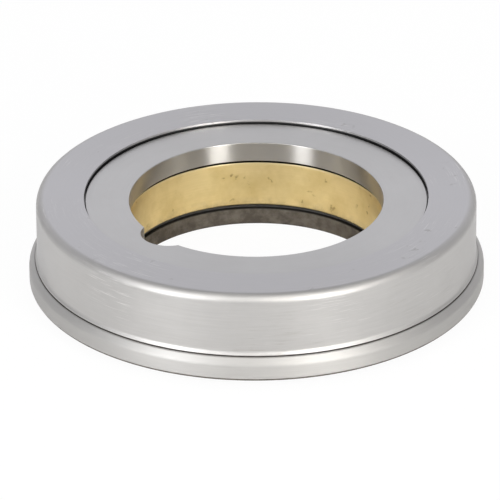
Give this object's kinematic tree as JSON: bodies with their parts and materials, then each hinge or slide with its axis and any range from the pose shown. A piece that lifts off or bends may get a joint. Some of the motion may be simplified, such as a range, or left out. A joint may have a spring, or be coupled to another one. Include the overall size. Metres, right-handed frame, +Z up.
{
  "type": "tapered roller thrust bearing",
  "caption": "Flat round thrust bearing with tapered rollers and a brass cage between stacked races, held in a pressed steel shroud, for axial load between a carrier and rotating fingers.",
  "frame": {"origin": "on the bearing axis, at the bottom face of the lower race", "axes": "+Z up along the bearing axis, out of the upper race's face; -Y towards the camera of the picture"},
  "size_m": [0.1026, 0.1026, 0.022],
  "materials": {
    "pressed_steel": "bright pressed sheet, fine scuffs round the wall",
    "ground_steel": "fine ground",
    "hardened_steel": "bright turned bead, dark hardened bore",
    "brass": "fine turned, lightly stained",
    "roller_steel": "polished"
  },
  "bodies": {
    "housing": {"lower_race": "hardened_steel", "shroud": "pressed_steel"},
    "carrier": {"upper_race": "ground_steel"},
    "cage": {"brass_cage": "brass"},
    "roller_01": {"roller_01": "roller_steel"},
    "roller_02": {"roller_02": "roller_steel"},
    "roller_03": {"roller_03": "roller_steel"},
    "roller_04": {"roller_04": "roller_steel"},
    "roller_05": {"roller_05": "roller_steel"},
    "roller_06": {"roller_06": "roller_steel"},
    "roller_07": {"roller_07": "roller_steel"},
    "roller_08": {"roller_08": "roller_steel"},
    "roller_09": {"roller_09": "roller_steel"},
    "roller_10": {"roller_10": "roller_steel"},
    "roller_11": {"roller_11": "roller_steel"},
    "roller_12": {"roller_12": "roller_steel"},
    "roller_13": {"roller_13": "roller_steel"},
    "roller_14": {"roller_14": "roller_steel"},
    "roller_15": {"roller_15": "roller_steel"},
    "roller_16": {"roller_16": "roller_steel"},
    "roller_17": {"roller_17": "roller_steel"},
    "roller_18": {"roller_18": "roller_steel"}
  },
  "joints": [
    {"name": "carrier_spin", "type": "hinge", "parent": "housing", "child": "carrier", "pos_m": [0, 0, 0.02105], "axis": [0, 0, 1], "continuous": true},
    {"name": "cage_spin", "type": "hinge", "parent": "housing", "child": "cage", "pos_m": [0, 0, 0.01025], "axis": [0, 0, 1], "continuous": true},
    {"name": "roller_01_spin", "type": "hinge", "parent": "cage", "child": "roller_01", "pos_m": [0.0385, 0, 0.01025], "axis": [1, 0, 0], "continuous": true},
    {"name": "roller_02_spin", "type": "hinge", "parent": "cage", "child": "roller_02", "pos_m": [0.03618, 0.01317, 0.01025], "axis": [0.9397, 0.342, 0], "continuous": true},
    {"name": "roller_03_spin", "type": "hinge", "parent": "cage", "child": "roller_03", "pos_m": [0.02949, 0.02475, 0.01025], "axis": [0.766, 0.6428, 0], "continuous": true},
    {"name": "roller_04_spin", "type": "hinge", "parent": "cage", "child": "roller_04", "pos_m": [0.01925, 0.03334, 0.01025], "axis": [0.5, 0.866, 0], "continuous": true},
    {"name": "roller_05_spin", "type": "hinge", "parent": "cage", "child": "roller_05", "pos_m": [0.00668, 0.03791, 0.01025], "axis": [0.1736, 0.9848, 0], "continuous": true},
    {"name": "roller_06_spin", "type": "hinge", "parent": "cage", "child": "roller_06", "pos_m": [-0.00668, 0.03791, 0.01025], "axis": [-0.1736, 0.9848, 0], "continuous": true},
    {"name": "roller_07_spin", "type": "hinge", "parent": "cage", "child": "roller_07", "pos_m": [-0.01925, 0.03334, 0.01025], "axis": [-0.5, 0.866, 0], "continuous": true},
    {"name": "roller_08_spin", "type": "hinge", "parent": "cage", "child": "roller_08", "pos_m": [-0.02949, 0.02475, 0.01025], "axis": [-0.766, 0.6428, 0], "continuous": true},
    {"name": "roller_09_spin", "type": "hinge", "parent": "cage", "child": "roller_09", "pos_m": [-0.03618, 0.01317, 0.01025], "axis": [-0.9397, 0.342, 0], "continuous": true},
    {"name": "roller_10_spin", "type": "hinge", "parent": "cage", "child": "roller_10", "pos_m": [-0.0385, 0, 0.01025], "axis": [-1, 0, 0], "continuous": true},
    {"name": "roller_11_spin", "type": "hinge", "parent": "cage", "child": "roller_11", "pos_m": [-0.03618, -0.01317, 0.01025], "axis": [-0.9397, -0.342, 0], "continuous": true},
    {"name": "roller_12_spin", "type": "hinge", "parent": "cage", "child": "roller_12", "pos_m": [-0.02949, -0.02475, 0.01025], "axis": [-0.766, -0.6428, 0], "continuous": true},
    {"name": "roller_13_spin", "type": "hinge", "parent": "cage", "child": "roller_13", "pos_m": [-0.01925, -0.03334, 0.01025], "axis": [-0.5, -0.866, 0], "continuous": true},
    {"name": "roller_14_spin", "type": "hinge", "parent": "cage", "child": "roller_14", "pos_m": [-0.00668, -0.03791, 0.01025], "axis": [-0.1736, -0.9848, 0], "continuous": true},
    {"name": "roller_15_spin", "type": "hinge", "parent": "cage", "child": "roller_15", "pos_m": [0.00668, -0.03791, 0.01025], "axis": [0.1736, -0.9848, 0], "continuous": true},
    {"name": "roller_16_spin", "type": "hinge", "parent": "cage", "child": "roller_16", "pos_m": [0.01925, -0.03334, 0.01025], "axis": [0.5, -0.866, 0], "continuous": true},
    {"name": "roller_17_spin", "type": "hinge", "parent": "cage", "child": "roller_17", "pos_m": [0.02949, -0.02475, 0.01025], "axis": [0.766, -0.6428, 0], "continuous": true},
    {"name": "roller_18_spin", "type": "hinge", "parent": "cage", "child": "roller_18", "pos_m": [0.03618, -0.01317, 0.01025], "axis": [0.9397, -0.342, 0], "continuous": true}
  ],
  "couplings": [
    {"joint": "cage_spin", "follows": "carrier_spin", "ratio": 0.5},
    {"joint": "roller_01_spin", "follows": "carrier_spin", "ratio": -3.7037},
    {"joint": "roller_02_spin", "follows": "carrier_spin", "ratio": -3.7037},
    {"joint": "roller_03_spin", "follows": "carrier_spin", "ratio": -3.7037},
    {"joint": "roller_04_spin", "follows": "carrier_spin", "ratio": -3.7037},
    {"joint": "roller_05_spin", "follows": "carrier_spin", "ratio": -3.7037},
    {"joint": "roller_06_spin", "follows": "carrier_spin", "ratio": -3.7037},
    {"joint": "roller_07_spin", "follows": "carrier_spin", "ratio": -3.7037},
    {"joint": "roller_08_spin", "follows": "carrier_spin", "ratio": -3.7037},
    {"joint": "roller_09_spin", "follows": "carrier_spin", "ratio": -3.7037},
    {"joint": "roller_10_spin", "follows": "carrier_spin", "ratio": -3.7037},
    {"joint": "roller_11_spin", "follows": "carrier_spin", "ratio": -3.7037},
    {"joint": "roller_12_spin", "follows": "carrier_spin", "ratio": -3.7037},
    {"joint": "roller_13_spin", "follows": "carrier_spin", "ratio": -3.7037},
    {"joint": "roller_14_spin", "follows": "carrier_spin", "ratio": -3.7037},
    {"joint": "roller_15_spin", "follows": "carrier_spin", "ratio": -3.7037},
    {"joint": "roller_16_spin", "follows": "carrier_spin", "ratio": -3.7037},
    {"joint": "roller_17_spin", "follows": "carrier_spin", "ratio": -3.7037},
    {"joint": "roller_18_spin", "follows": "carrier_spin", "ratio": -3.7037}
  ]
}
